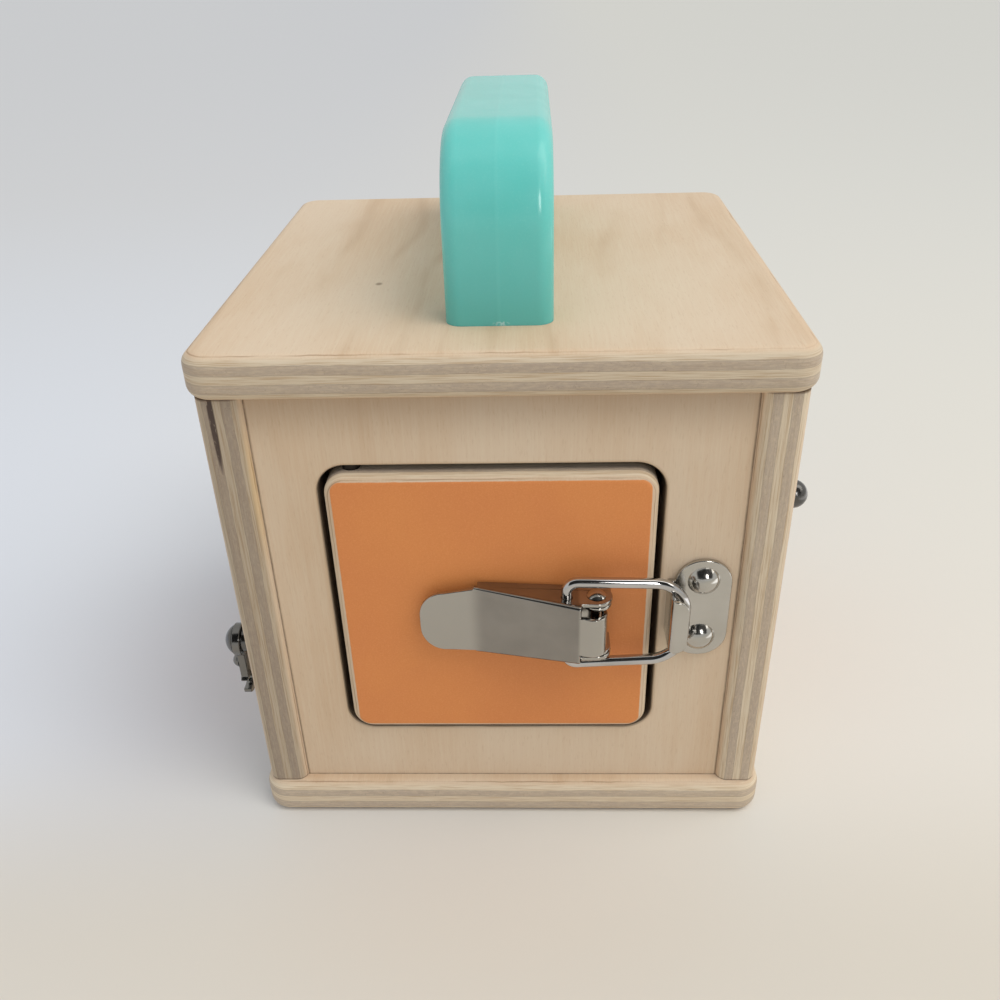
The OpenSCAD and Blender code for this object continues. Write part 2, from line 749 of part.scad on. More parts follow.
// Wire bail, flat in its own plane, leaning from the lever holes down into the hook
module latch_bail() {
  half = bail_w / 2;
  tip = ear_w / 2 - bail_rise - 0.5;
  color("silver") on_front() fitting(pivot_x - bail_arm, latch_z, door_proud + bail_up)
    translate([0, bail_rise, 0]) rotate([0, bail_tilt, 0]) {
      for (s = [0, 180]) rotate([s, 0, 0]) {
        translate([0, tip, 0]) rotate([-90, 0, 0])
          cylinder(d = wire_d, h = half - bail_bend - tip);
        translate([bail_bend, half - bail_bend, 0]) rotate([0, 0, 90]) rotate_extrude(angle = 90)
          translate([bail_bend, 0]) circle(d = wire_d);
        translate([bail_bend, half, 0]) rotate([0, 90, 0])
          cylinder(d = wire_d, h = bail_l - bail_corner - bail_bend);
        translate([bail_l - bail_corner, half - bail_corner, 0]) rotate_extrude(angle = 90)
          translate([bail_corner, 0]) circle(d = wire_d);
      }
      translate([bail_l, 0, 0]) rotate([90, 0, 0])
        cylinder(d = wire_d, h = bail_w - 2 * bail_corner, center = true);
    }
}

module right_door() {
  color("darkorange") on_right() difference() {
    door_plate(side_mid);
    fitting(side_edge, bolt_z, door_proud) rivet_holes(bolt_points, rivet_l, rivet_d);
  }
}
module right_hinge_pins() {
  color("silver") on_right() hinge_pins(side_mid);
}
// An arch across the wall: side view along the height and out of the wall, made long along the wall
module arch(length, r, up) {
  rotate([90, 0, 90]) linear_extrude(length) {
    translate([-r, 0]) square([2 * r, up]);
    intersection() {
      translate([0, up]) circle(r);
      translate([-r, 0]) square([2 * r, up + r]);
    }
  }
}
module bolt_base() {
  left = -bolt_base_in - bolt_base_l;
  color("silver") on_right() fitting(side_edge, bolt_z, door_proud) difference() {
    union() {
      translate([left + bolt_base_l / 2, 0, 0]) linear_extrude(bolt_sheet)
        rounded_rect(bolt_base_l, bolt_base_h, bolt_base_r);
      translate([left, 0, 0]) arch(guide_l, guide_r, bolt_up);
      translate([-bolt_base_in - guide_l, 0, 0]) arch(guide_l, guide_r, bolt_up);
    }
    translate([left - 1, 0, bolt_up]) rotate([0, 90, 0])
      cylinder(d = bolt_d + 2 * bolt_play, h = bolt_base_l + 2);
    rivet_holes(bolt_points, 1, rivet_d);
  }
}
module bolt_base_rivets() {
  color("silver") on_right() fitting(side_edge, bolt_z, door_proud + bolt_sheet)
    rivets(bolt_points, bolt_head_d, bolt_head_h, bolt_sheet + rivet_l);
}
module slide_bolt() {
  r = bolt_d / 2;
  color("silver") on_right() fitting(side_edge, bolt_z, door_proud) difference() {
    translate([-bolt_tip - bolt_l, 0, bolt_up]) rotate([0, 90, 0]) rotate_extrude()
      polygon([[0, 0], [r, 0], [r, bolt_l - 1], [r - 1, bolt_l], [0, bolt_l]]);
    translate([-knob_in, 0, bolt_up]) cylinder(d = stem_d + 2 * fit, h = bolt_d);
  }
}
module bolt_knob() {
  color("silver") on_right() fitting(side_edge, bolt_z, door_proud) {
    translate([-knob_in, 0, bolt_up]) cylinder(d = stem_d, h = knob_up - bolt_up);
    translate([-knob_in, 0, knob_up]) sphere(d = knob_d);
  }
}
module bolt_keeper() {
  up = bolt_up + door_proud;
  hole = bolt_d / 2 + keeper_play;
  color("silver") on_right() fitting(side_edge, bolt_z, 0) difference() {
    union() {
      translate([keeper_in + keeper_w / 2, 0, 0]) linear_extrude(bolt_sheet)
        rounded_rect(keeper_foot_w, keeper_h, keeper_r);
      translate([keeper_in, 0, 0]) arch(keeper_w, hole + keeper_wall, up);
    }
    translate([keeper_in - 1, 0, 0.6]) arch(keeper_w + 2, hole, up - 0.6);
    rivet_holes(keeper_points, 1, rivet_d);
  }
}
module keeper_rivets() {
  color("silver") on_right() fitting(side_edge, bolt_z, bolt_sheet)
    rivets(keeper_points, keeper_head_d, keeper_head_h, bolt_sheet + rivet_l);
}

module left_door() {
  color("darkorange") on_left() difference() {
    door_plate(side_mid);
    fitting(side_edge, swing_z, door_proud) rivet_holes([[swing_in - swing_l, 0]], rivet_l, rivet_d);
  }
}
module left_hinge_pins() {
  color("silver") on_left() hinge_pins(side_mid);
}
module hook_plate() {
  color("silver") on_left() fitting(side_edge, swing_z, 0) difference() {
    translate([swing_in, 0, 0]) linear_extrude(plate_t) rounded_rect(plate_w, plate_h, plate_r);
    rivet_holes(plate_points, 1, rivet_d);
    rivet_holes([[swing_in, 0]], 1, rivet_d);
  }
}
module hook_plate_rivets() {
  color("silver") on_left() fitting(side_edge, swing_z, plate_t)
    rivets(plate_points, plate_head_d, plate_head_h, plate_t + rivet_l);
}
module hook_pivot_stud() {
  collar = swing_up - plate_t - 0.1;
  color("silver") on_left() fitting(side_edge + swing_in, swing_z, plate_t) {
    cylinder(r = ring_r - 1, h = collar);
    translate([0, 0, collar]) cylinder(d = neck_d, h = swing_t + 0.3);
    translate([0, 0, collar + swing_t + 0.3]) rivet(stud_head_d, stud_head_h, neck_d, 0.5);
    translate([0, 0, -plate_t - rivet_l]) cylinder(d = rivet_d, h = plate_t + rivet_l + 0.5);
  }
}
// Hook in its shut position: the arm points away from the latch side, the mouth opens downward
module hook_outline() {
  mouth = post_d / 2 + mouth_play;
  far = 2 * mouth_r;
  difference() {
    union() {
      circle(ring_r);
      translate([-swing_l, -swing_w / 2]) square([swing_l, swing_w]);
      translate([-swing_l, 0.6]) circle(mouth_r);
    }
    circle(neck_d / 2 + pivot_play);
    translate([-swing_l, 0]) circle(mouth);
    translate([-swing_l - mouth, -far]) square([2 * mouth, far]);
    translate([-swing_l - far, -far]) square([far + mouth, far - swing_w / 2]);
  }
}
module swing_hook() {
  color("silver") on_left() fitting(side_edge + swing_in, swing_z, swing_up) rotate([0, 0, 90]) {
    linear_extrude(swing_t) hook_outline();
    translate([-swing_l / 2, 0, swing_t - 0.4]) rivet(nub_d, nub_h, nub_d, 0.5);
  }
}
module door_stud() {
  color("silver") on_left() fitting(side_edge + swing_in - swing_l, swing_z, door_proud) {
    cylinder(d = post_d + 2, h = 1);
    cylinder(d = post_d, h = swing_up - door_proud + swing_t + 0.6);
    translate([0, 0, swing_up - door_proud + swing_t + 0.4]) rivet(post_head_d, post_head_h, post_d, 0.3);
    translate([0, 0, -rivet_l]) cylinder(d = rivet_d, h = rivet_l + 0.5);
  }
}

module back_door() {
  color("darkorange") on_back() door_plate(front_mid);
}
module back_hinge_pins() {
  color("silver") on_back() hinge_pins(front_mid);
}
module button_spacer() {
  color("silver") on_back() fitting(front_edge + turn_in, latch_z, 0) difference() {
    cylinder(r = spacer_r, h = spacer_h);
    translate([0, 0, -1]) cylinder(d = turn_d + 2 * fit, h = spacer_h + 2);
  }
}
module button_rivet() {
  color("silver") on_back() fitting(front_edge + turn_in, latch_z, spacer_h + turn_t + 2 * turn_play)
    rivet(turn_head_d, turn_head_h, turn_d, spacer_h + turn_t + 2 * turn_play + rivet_l);
}
module turn_button() {
  color("silver") on_back() fitting(front_edge + turn_in, latch_z, spacer_h + turn_play) difference() {
    linear_extrude(turn_t) rounded_rect(turn_w, turn_l, turn_w / 2 - 0.1);
    translate([0, 0, -1]) cylinder(d = turn_d + 2 * turn_play, h = turn_t + 2);
  }
}

base_panel();
top_panel();
left_panel();
right_panel();
front_panel();
back_panel();
panel_dowels();
door_stops();
handle();
handle_screws();
catch_plate();
catch_rivets();
bolt_keeper();
keeper_rivets();
hook_plate();
hook_plate_rivets();
hook_pivot_stud();
button_spacer();
button_rivet();
front_door();
front_hinge_pins();
latch_base();
latch_base_rivets();
latch_pivot_pin();
latch_lever();
latch_bail();
right_door();
right_hinge_pins();
bolt_base();
bolt_base_rivets();
slide_bolt();
bolt_knob();
left_door();
left_hinge_pins();
door_stud();
swing_hook();
back_door();
back_hinge_pins();
turn_button();
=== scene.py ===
# Looks of the wooden lock box toy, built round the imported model, in metres and in its frame.
import json
import math

import bmesh
import bpy
from mathutils import Matrix, Vector

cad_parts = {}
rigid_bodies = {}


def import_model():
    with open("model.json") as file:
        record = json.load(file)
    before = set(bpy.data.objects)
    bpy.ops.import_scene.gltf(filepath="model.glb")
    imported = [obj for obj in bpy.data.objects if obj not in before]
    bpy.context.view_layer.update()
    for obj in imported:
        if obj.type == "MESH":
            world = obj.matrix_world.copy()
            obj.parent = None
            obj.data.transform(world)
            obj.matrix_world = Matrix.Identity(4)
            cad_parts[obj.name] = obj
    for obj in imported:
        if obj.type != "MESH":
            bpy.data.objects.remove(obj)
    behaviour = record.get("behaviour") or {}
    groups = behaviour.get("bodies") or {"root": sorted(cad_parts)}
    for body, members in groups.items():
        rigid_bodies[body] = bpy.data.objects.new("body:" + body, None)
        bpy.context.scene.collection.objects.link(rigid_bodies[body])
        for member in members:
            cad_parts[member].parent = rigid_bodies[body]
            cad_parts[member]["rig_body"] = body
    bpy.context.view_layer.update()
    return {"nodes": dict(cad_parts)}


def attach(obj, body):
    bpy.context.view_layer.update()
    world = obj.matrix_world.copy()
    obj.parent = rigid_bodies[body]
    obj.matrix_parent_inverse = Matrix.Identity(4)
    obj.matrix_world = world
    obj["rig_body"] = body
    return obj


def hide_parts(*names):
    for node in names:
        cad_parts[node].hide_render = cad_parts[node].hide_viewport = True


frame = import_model()
nodes = frame["nodes"]
scene = bpy.context.scene

X, Y, Z = 0, 1, 2
MM = 1000.0

# Sizes that the materials need, in millimetres, as in the part's source
PLY = 10.0
LAYERS = 5.0
SIDE_OUT = 63.5
FRONT_OUT = 61.0
BOX_H = 130.0
DOOR_PROUD = 2.0
MID_Z = 65.0
FRONT_MID = -2.5
SIDE_MID = 7.5
OPEN_HALF = 38.0

# The printed field of a door: half its width, half its height and its corner radius
PRINT_HALF_W = 34.9
PRINT_HALF_H = 35.1
PRINT_R = 2.4

# How deep the first glue line lies, how far the painted shade under the overhanging top reaches, and
# where the painted shade on the walls of a door opening ends and is full
GLUE_DEPTH = 0.30
OVERHANG_SHADE_REACH = 14.0
GAP_SHADE_END, GAP_SHADE_FULL = 1.6, 0.8


def srgb(r, g, b):
    """An 8-bit display colour as the linear colour that a shader takes."""
    def lin(v):
        v /= 255
        return v / 12.92 if v <= 0.04045 else ((v + 0.055) / 1.055) ** 2.4
    return (lin(r), lin(g), lin(b), 1.0)


class Shader:
    """A material written as short sums: each call adds a node and returns its socket."""

    def __init__(self, name):
        self.mat = bpy.data.materials.new(name)
        self.mat.use_nodes = True
        self.tree = self.mat.node_tree
        self.tree.nodes.clear()
        self.bsdf = self.tree.nodes.new("ShaderNodeBsdfPrincipled")
        out = self.tree.nodes.new("ShaderNodeOutputMaterial")
        self.tree.links.new(self.bsdf.outputs[0], out.inputs["Surface"])
        coord = self.tree.nodes.new("ShaderNodeTexCoord")
        self.p = self.vector("MULTIPLY", coord.outputs["Object"], (MM, MM, MM))
        self.x, self.y, self.z = self.split(self.p)
        self.nx, self.ny, self.nz = self.split(coord.outputs["Normal"])

    def put(self, socket, value):
        """Link a socket to another one, or give it a fixed value."""
        if isinstance(value, bpy.types.NodeSocket):
            self.tree.links.new(value, socket)
        else:
            socket.default_value = value

    def split(self, vec):
        node = self.tree.nodes.new("ShaderNodeSeparateXYZ")
        self.put(node.inputs[0], vec)
        return node.outputs[0], node.outputs[1], node.outputs[2]

    def vector(self, op, a, b):
        node = self.tree.nodes.new("ShaderNodeVectorMath")
        node.operation = op
        self.put(node.inputs[0], a)
        self.put(node.inputs[1], b)
        return node.outputs[0]

    def math(self, op, a, b=0.0):
        node = self.tree.nodes.new("ShaderNodeMath")
        node.operation = op
        self.put(node.inputs[0], a)
        self.put(node.inputs[1], b)
        return node.outputs[0]

    def add(self, a, b):
        return self.math("ADD", a, b)

    def sub(self, a, b):
        return self.math("SUBTRACT", a, b)

    def mul(self, a, b):
        return self.math("MULTIPLY", a, b)

    def abs(self, a):
        return self.math("ABSOLUTE", a)

    def gap(self, a, b):
        """How far two values lie apart."""
        return self.abs(self.sub(a, b))

    def step(self, value, low, high):
        """0 at low, 1 at high, smooth between. low may be the larger one."""
        node = self.tree.nodes.new("ShaderNodeMapRange")
        node.interpolation_type = "SMOOTHSTEP"
        self.put(node.inputs["Value"], value)
        if low < high:
            ends = (low, high, 0.0, 1.0)
        else:
            ends = (high, low, 1.0, 0.0)
        for i, v in enumerate(ends):
            node.inputs[i + 1].default_value = v
        return node.outputs[0]

    def noise(self, vec, scale=1.0, detail=2.0, rough=0.5):
        node = self.tree.nodes.new("ShaderNodeTexNoise")
        self.put(node.inputs["Vector"], vec)
        node.inputs["Scale"].default_value = scale
        node.inputs["Detail"].default_value = detail
        node.inputs["Roughness"].default_value = rough
        return node.outputs["Fac"]

    def grain(self, scale, detail=2.0, rough=0.5, shift=0.0):
        """Noise with its own scale along each axis, per millimetre."""
        vec = self.vector("MULTIPLY", self.p, scale)
        if shift:
            vec = self.vector("ADD", vec, (shift, shift * 0.7, shift * 1.3))
        return self.noise(vec, 1.0, detail, rough)

    def mix(self, fac, a, b, mode="MIX"):
        node = self.tree.nodes.new("ShaderNodeMix")
        node.data_type = "RGBA"
        node.blend_type = mode
        self.put(node.inputs[0], fac)
        self.put(node.inputs[6], a)
        self.put(node.inputs[7], b)
        return node.outputs[2]

    def bump(self, height, strength, distance, under=None):
        node = self.tree.nodes.new("ShaderNodeBump")
        node.inputs["Strength"].default_value = strength
        node.inputs["Distance"].default_value = distance
        self.put(node.inputs["Height"], height)
        if under is not None:
            self.put(node.inputs["Normal"], under)
        return node.outputs[0]

    def spot(self, centre, size, soft=0.4):
        """1 inside an ellipsoid with those half sizes, fading outside it."""
        away = self.vector("SUBTRACT", self.p, centre)
        away = self.vector("DIVIDE", away, size)
        node = self.tree.nodes.new("ShaderNodeVectorMath")
        node.operation = "LENGTH"
        self.put(node.inputs[0], away)
        return self.step(node.outputs["Value"], 1.0 + soft, 1.0 - soft)

    def finish(self, colour, rough, normal, **fixed):
        self.put(self.bsdf.inputs["Base Color"], colour)
        self.put(self.bsdf.inputs["Roughness"], rough)
        if normal is not None:
            self.put(self.bsdf.inputs["Normal"], normal)
        for name, value in fixed.items():
            self.bsdf.inputs[name.replace("_", " ")].default_value = value
        return self.mat


WOOD = srgb(222, 199, 171)
WOOD_WARM = srgb(215, 186, 153)
WOOD_PALE = srgb(228, 211, 184)
WOOD_LINE = srgb(186, 150, 112)
BEECH = srgb(196, 158, 118)
PLY_PALE = srgb(214, 194, 164)
PLY_MID = srgb(200, 181, 157)
PLY_DARK = srgb(183, 165, 147)
PLY_PORE = srgb(128, 111, 97)
PLY_EDGE_SHADE = srgb(205, 202, 201)
SEAM = srgb(92, 70, 52)
OVERHANG_SHADE = srgb(150, 128, 104)
GAP_SHADE = srgb(66, 48, 38)
GLUE = srgb(146, 110, 80)
VOID = srgb(68, 52, 46)
RESIN = srgb(226, 190, 112)
KNOT = srgb(120, 92, 66)
KNOT_PALE = srgb(150, 116, 84)
ORANGE = srgb(227, 143, 78)
ORANGE_DEEP = srgb(222, 137, 76)
INK_LIGHT = srgb(243, 168, 106)
INK_DARK = srgb(206, 120, 60)
STAIN = srgb(92, 86, 80)
HIGHLIGHT_TINT = srgb(187, 185, 180)
TEAL = srgb(104, 204, 194)
TEAL_FLOW = srgb(116, 209, 200)
TEAL_SKIN = srgb(140, 224, 214)
TEAL_FOOT_SHADE = srgb(84, 174, 165)
TEAL_LINE = srgb(150, 226, 218)
TEAL_GATE = srgb(196, 232, 226)


def along_axis(axis, run, cross):
    """A scale for each axis: run along that one, cross on the two others."""
    scale = [cross, cross, cross]
    scale[axis] = run
    return tuple(scale)


def wood_face(s, along, lines=1.0, seed=0.0):
    """Colour and height of a pale rotary-cut face veneer with its fibres along one axis."""
    cloud = s.grain(along_axis(along, 0.012, 0.035), 3, 0.55, seed + 3.1)
    fibre = s.grain(along_axis(along, 0.07, 2.4), 3, 0.6, seed + 7.7)
    fleck = s.grain(along_axis(along, 0.42, 3.2), 2, 0.5, seed + 1.9)
    swirl = s.grain(along_axis(along, 0.006, 0.020), 2, 0.5, seed + 5.3)
    across = s.y if along == X else s.x
    rings = s.math("SINE", s.add(s.mul(across, 0.50), s.mul(swirl, 22.0)))
    peaks = s.math("MAXIMUM", s.add(s.mul(rings, 0.5), 0.5), 0.0)
    ring = s.mul(s.math("POWER", peaks, 9.0), s.step(cloud, 0.42, 0.62))
    colour = s.mix(s.step(cloud, 0.3, 0.7), WOOD, WOOD_WARM)
    colour = s.mix(s.mul(s.step(fibre, 0.35, 0.75), 0.32), colour, WOOD_PALE)
    colour = s.mix(s.mul(s.step(fleck, 0.58, 0.72), 0.17), colour, WOOD_LINE)
    colour = s.mix(s.mul(ring, 0.26 * lines), colour, WOOD_LINE)
    height = s.add(s.mul(fibre, 0.6), s.mul(s.step(fleck, 0.5, 0.7), -0.4))
    return colour, height


def ply_edge(s, axis, depth, seed, edge_shade_and_tone):
    """Colour of a cut edge, with where its dark layers are and their speckle. depth counts layers."""
    wave = s.noise(s.p, 0.05, 2, 0.5)
    wander = s.noise(s.p, 0.5, 2, 0.5)
    layer = s.add(depth, s.add(s.mul(wave, 0.34), s.add(s.mul(wander, 0.14), -0.24)))
    swing = s.math("SINE", s.mul(layer, math.pi))
    inside = s.mul(s.step(depth, 0.45, 0.75), s.step(depth, LAYERS - 0.45, LAYERS - 0.75))
    dark = s.mul(s.step(swing, 0.16, -0.22), inside)
    pores = s.grain(along_axis(axis, 2.2, 0.55), 3, 0.65, seed + 11.0)
    speckle = s.grain((1.9, 1.9, 1.9), 3, 0.7, seed + 13.0)
    streaks = s.grain(along_axis(axis, 5.0, 0.10), 3, 0.6, seed + 17.0)
    pale = s.mix(s.step(streaks, 0.32, 0.72), PLY_PALE, WOOD_PALE)
    pale = s.mix(s.mul(s.step(streaks, 0.52, 0.36), 0.42), pale, WOOD_LINE)
    grey = s.mix(s.step(pores, 0.40, 0.68), PLY_DARK, PLY_MID)
    grey = s.mix(s.mul(s.step(speckle, 0.58, 0.72), 0.45), grey, PLY_PORE)
    faint = s.add(0.50, s.mul(s.grain((0.02, 0.02, 0.02), 2, 0.5, seed + 19.0), 0.55))
    edge = s.mix(s.mul(dark, faint), pale, grey)
    between = s.mul(s.step(s.abs(swing), 0.22, 0.02), inside)
    edge = s.mix(s.mul(between, 0.34), edge, PLY_PORE)
    # painted shade: darkens the cut edges, strongly on the left panel whose side lies in shade, a
    # little elsewhere as a change of tone
    if edge_shade_and_tone:
        edge = s.mix(edge_shade_and_tone, edge, PLY_EDGE_SHADE, "MULTIPLY")
    return edge, dark, speckle


def glue_line(s, depth):
    """Strength of the first glue line under each face, which shows on rounded edges."""
    skin = s.mul(s.math("MINIMUM", depth, s.sub(LAYERS, depth)), PLY / LAYERS)
    skin = s.add(skin, s.mul(s.add(s.noise(s.p, 0.22, 2, 0.5), -0.5), 0.22))
    line = s.step(s.gap(skin, GLUE_DEPTH), 0.11, 0.02)
    broken = s.add(0.12, s.mul(s.step(s.noise(s.p, 0.06, 2, 0.5), 0.42, 0.62), 0.50))
    return s.mul(line, broken)


def print_field(s, wide, middle, outward):
    """1 on the printed field of a door face, with slightly uneven edges."""
    a = s.gap(wide, middle)
    b = s.gap(s.z, MID_Z)
    a = s.math("MAXIMUM", s.sub(a, PRINT_HALF_W - PRINT_R), 0.0)
    b = s.math("MAXIMUM", s.sub(b, PRINT_HALF_H - PRINT_R), 0.0)
    off = s.math("SQRT", s.add(s.mul(a, a), s.mul(b, b)))
    off = s.add(off, s.mul(s.noise(s.p, 0.9, 2, 0.5), 0.16))
    return s.mul(s.step(off, PRINT_R + 0.14, PRINT_R - 0.02), s.step(outward, 0.80, 0.95))


def plywood(name, axis, start, turn, along, lines=1.0, seed=0.0, marks=(), paint=None,
            seams=(), edge_shade_and_tone=0.0, shade=(), opening=None):
    """Five-ply sheet. axis and start say where its layers begin at its outer face, turn which way
    they run, and along is the axis of the face grain. marks are small natural faults. paint is the
    axis and middle of a printed outer face. seams are the thin dark lines where this sheet meets the
    next, as an axis and a place on it. edge_shade_and_tone is how far its cut edges are darkened, as
    painted shade where the sheet's side lies in shade and as a small change of tone elsewhere. shade
    gives the heights below which painted shade darkens the sheet, for the shadow of the overhanging
    top. opening is the axis and middle of a door opening, whose walls are darkened as painted shade
    of the deep door gap."""
    s = Shader(name)
    coords, normals = (s.x, s.y, s.z), (s.nx, s.ny, s.nz)
    facing = s.abs(normals[axis])
    depth = s.mul(s.sub(coords[axis], start), turn * LAYERS / PLY)
    face, height = wood_face(s, along, lines, seed)
    edge, dark, speckle = ply_edge(s, axis, depth, seed, edge_shade_and_tone)
    flat = s.step(facing, 0.55, 0.93)
    colour = s.mix(flat, edge, face)
    colour = s.mix(glue_line(s, depth), colour, GLUE)
    for mark in marks:
        where = s.spot(mark["at"], mark["size"], mark["soft"])
        if "torn" in mark:
            where = s.mul(where, s.step(s.grain(mark["torn"], 3, 0.7, 2.0), 0.30, 0.44))
        colour = s.mix(s.mul(where, mark["strength"]), colour, mark["colour"])
    # painted shade: darker just below the top panel, for the shadow its overhang casts
    for place in shade:
        close = s.step(s.gap(s.z, place), OVERHANG_SHADE_REACH, 0.0)
        colour = s.mix(s.mul(close, 0.32), colour, OVERHANG_SHADE, "MULTIPLY")
    # painted shade: the walls of a door opening are darkened for the deep shade in the gap round a
    # door
    if opening is not None:
        wide, middle = opening
        wall = s.step(facing, 0.80, 0.40)
        for off in (s.gap(coords[wide], middle), s.gap(s.z, MID_Z)):
            wall = s.mul(wall, s.step(off, OPEN_HALF + GAP_SHADE_END, OPEN_HALF + GAP_SHADE_FULL))
        colour = s.mix(s.mul(wall, s.add(0.72, s.mul(speckle, 0.25))), colour, GAP_SHADE)
    for seam_axis, place in seams:
        line = s.step(s.gap(coords[seam_axis], place), 0.50, 0.10)
        line = s.mul(line, s.add(0.32, s.mul(s.noise(s.p, 0.35, 2, 0.5), 0.5)))
        if seam_axis == axis:
            line = s.mul(line, s.sub(1.0, flat))
        colour = s.mix(line, colour, SEAM)
    grit = s.noise(s.p, 3.0, 3, 0.6)
    height = s.add(height, s.mul(dark, s.mul(speckle, -0.8)))
    rough = s.add(0.52, s.mul(grit, 0.16))
    normal = s.bump(height, 0.22, 0.00012)
    if paint is None:
        return s.finish(colour, rough, normal, Specular_IOR_Level=0.35)
    wide, middle = paint
    print_on = print_field(s, coords[wide], middle, s.mul(normals[axis], -turn))
    tone = s.noise(s.p, 0.035, 3, 0.5)
    dots = s.noise(s.p, 2.6, 3, 0.7)
    ink = s.mix(s.step(tone, 0.3, 0.7), ORANGE, ORANGE_DEEP)
    ink = s.mix(s.mul(s.step(dots, 0.45, 0.75), 0.28), ink, INK_LIGHT)
    ink = s.mix(s.mul(s.step(dots, 0.44, 0.28), 0.22), ink, INK_DARK)
    colour = s.mix(print_on, colour, ink)
    lift = s.bump(s.add(print_on, s.mul(dots, 0.12)), 0.35, 0.00010, normal)
    rough = s.add(rough, s.mul(print_on, s.add(-0.12, s.mul(dots, 0.06))))
    return s.finish(colour, rough, lift, Specular_IOR_Level=0.4)


def metal(name, tint, dull, rough, brushed=(1.6, 1.6, 1.6), scratch=0.35, painted_highlight=None):
    """Plated steel: cloudy reflections, fine wear lines and a few darker stains. painted_highlight
    gives the X below which the tab and the X above which the nose are painted lighter, as highlights."""
    s = Shader(name)
    cloud = s.noise(s.p, 0.10, 3, 0.5)
    fine = s.grain(brushed, 4, 0.7, 4.0)
    pits = s.noise(s.p, 4.5, 2, 0.6)
    colour = s.mix(s.step(cloud, 0.25, 0.8), tint, dull)
    colour = s.mix(s.mul(s.step(pits, 0.68, 0.80), 0.25), colour, STAIN)
    # painted highlight: the lever's tab and the curl of its nose are lighter, for the brighter
    # reflections they catch
    if painted_highlight is not None:
        tab_end, nose = painted_highlight
        bright = s.add(s.mul(s.step(s.x, tab_end + 2.4, tab_end - 2.0), 0.8),
                       s.mul(s.step(s.x, nose - 0.4, nose + 0.5), 0.8))
        colour = s.mix(bright, colour, HIGHLIGHT_TINT)
    dulled = s.mul(s.step(cloud, 0.4, 0.8), 0.04)
    worn = s.add(rough, s.add(dulled, s.mul(fine, 0.08 * scratch)))
    normal = s.bump(fine, 0.10 * scratch, 0.00004)
    return s.finish(colour, worn, normal, Metallic=1.0)


def handle_plastic():
    """Moulded teal plastic, darker towards its feet as painted shade, with a parting line down its
    middle and a gate mark at the foot of the front leg."""
    s = Shader("handle_plastic_moulded")
    flow = s.grain((0.05, 0.05, 0.03), 3, 0.55, 1.0)
    skin = s.noise(s.p, 2.2, 3, 0.6)
    colour = s.mix(s.step(flow, 0.3, 0.7), TEAL, TEAL_FLOW)
    colour = s.mix(s.mul(s.step(skin, 0.5, 0.8), 0.2), colour, TEAL_SKIN)
    # painted shade: darker towards the feet, near the top panel
    colour = s.mix(s.mul(s.step(s.z, BOX_H + 22.0, BOX_H), 0.55), colour, TEAL_FOOT_SHADE)
    line = s.mul(s.step(s.abs(s.x), 0.55, 0.10), s.step(s.abs(s.nx), 0.6, 0.3))
    colour = s.mix(s.mul(line, 0.06), colour, TEAL_LINE)
    gate = s.spot((0.4, -49.5, BOX_H + 0.5), (1.5, 0.9, 0.45), 0.45)
    gate = s.mul(gate, s.step(s.noise(s.p, 1.7, 2, 0.6), 0.38, 0.56))
    colour = s.mix(s.mul(gate, 0.65), colour, TEAL_GATE)
    height = s.add(s.mul(skin, 0.10), s.mul(gate, -0.8))
    normal = s.bump(height, 0.25, 0.00012)
    rough = s.add(0.15, s.add(s.mul(flow, 0.08), s.mul(skin, 0.05)))
    return s.finish(colour, rough, normal, Specular_IOR_Level=0.5, IOR=1.49,
                    Subsurface_Weight=0.35, Subsurface_Radius=(0.0012, 0.0030, 0.0028),
                    Subsurface_Scale=1.0)


def dowel_wood():
    """Turned beech of the dowels and the door stops."""
    s = Shader("dowel_beech")
    colour, height = wood_face(s, Z, 0.6, 9.0)
    grit = s.noise(s.p, 3.0, 3, 0.6)
    return s.finish(s.mix(0.35, colour, BEECH), s.add(0.55, s.mul(grit, 0.1)),
                    s.bump(height, 0.3, 0.00015), Specular_IOR_Level=0.3)


# Natural faults: a torn gap and a resin streak by the left front edge, two specks on the top
left_marks = (
    {"at": (-59.9, -63.0, 115.5), "size": (0.66, 3.0, 12.0), "strength": 0.92, "colour": VOID,
     "soft": 0.25, "torn": (2.0, 0.9, 0.45)},
    {"at": (-53.9, -62.6, 97.0), "size": (0.7, 2.2, 15.0), "strength": 0.26, "colour": RESIN,
     "soft": 0.6},
)
top_marks = (
    {"at": (-29.4, -20.4, BOX_H), "size": (0.75, 0.95, 1.0), "strength": 0.65, "colour": KNOT,
     "soft": 0.5},
    {"at": (-8.5, -6.0, BOX_H), "size": (0.35, 0.9, 1.0), "strength": 0.45, "colour": KNOT_PALE,
     "soft": 0.5},
)

# Where the walls meet base, top and each other, and the axis and middle of each door
rails = ((Z, PLY), (Z, BOX_H - PLY))
left_stile, right_stile = (X, PLY - SIDE_OUT), (X, SIDE_OUT - PLY)
stiles = (left_stile, right_stile)
# underside of the top, below which the front and back get painted shade from its overhang
under_top = (BOX_H - PLY,)
front_way, back_way = (X, FRONT_MID), (X, -FRONT_MID)
left_way, right_way = (Y, -SIDE_MID), (Y, SIDE_MID)

base_ply = plywood("plywood_base", Z, 0.0, 1, Y, 0.8, 21.0)
top_ply = plywood("plywood_top", Z, BOX_H - PLY, 1, Y, 1.2, 4.0, top_marks, edge_shade_and_tone=0.22)
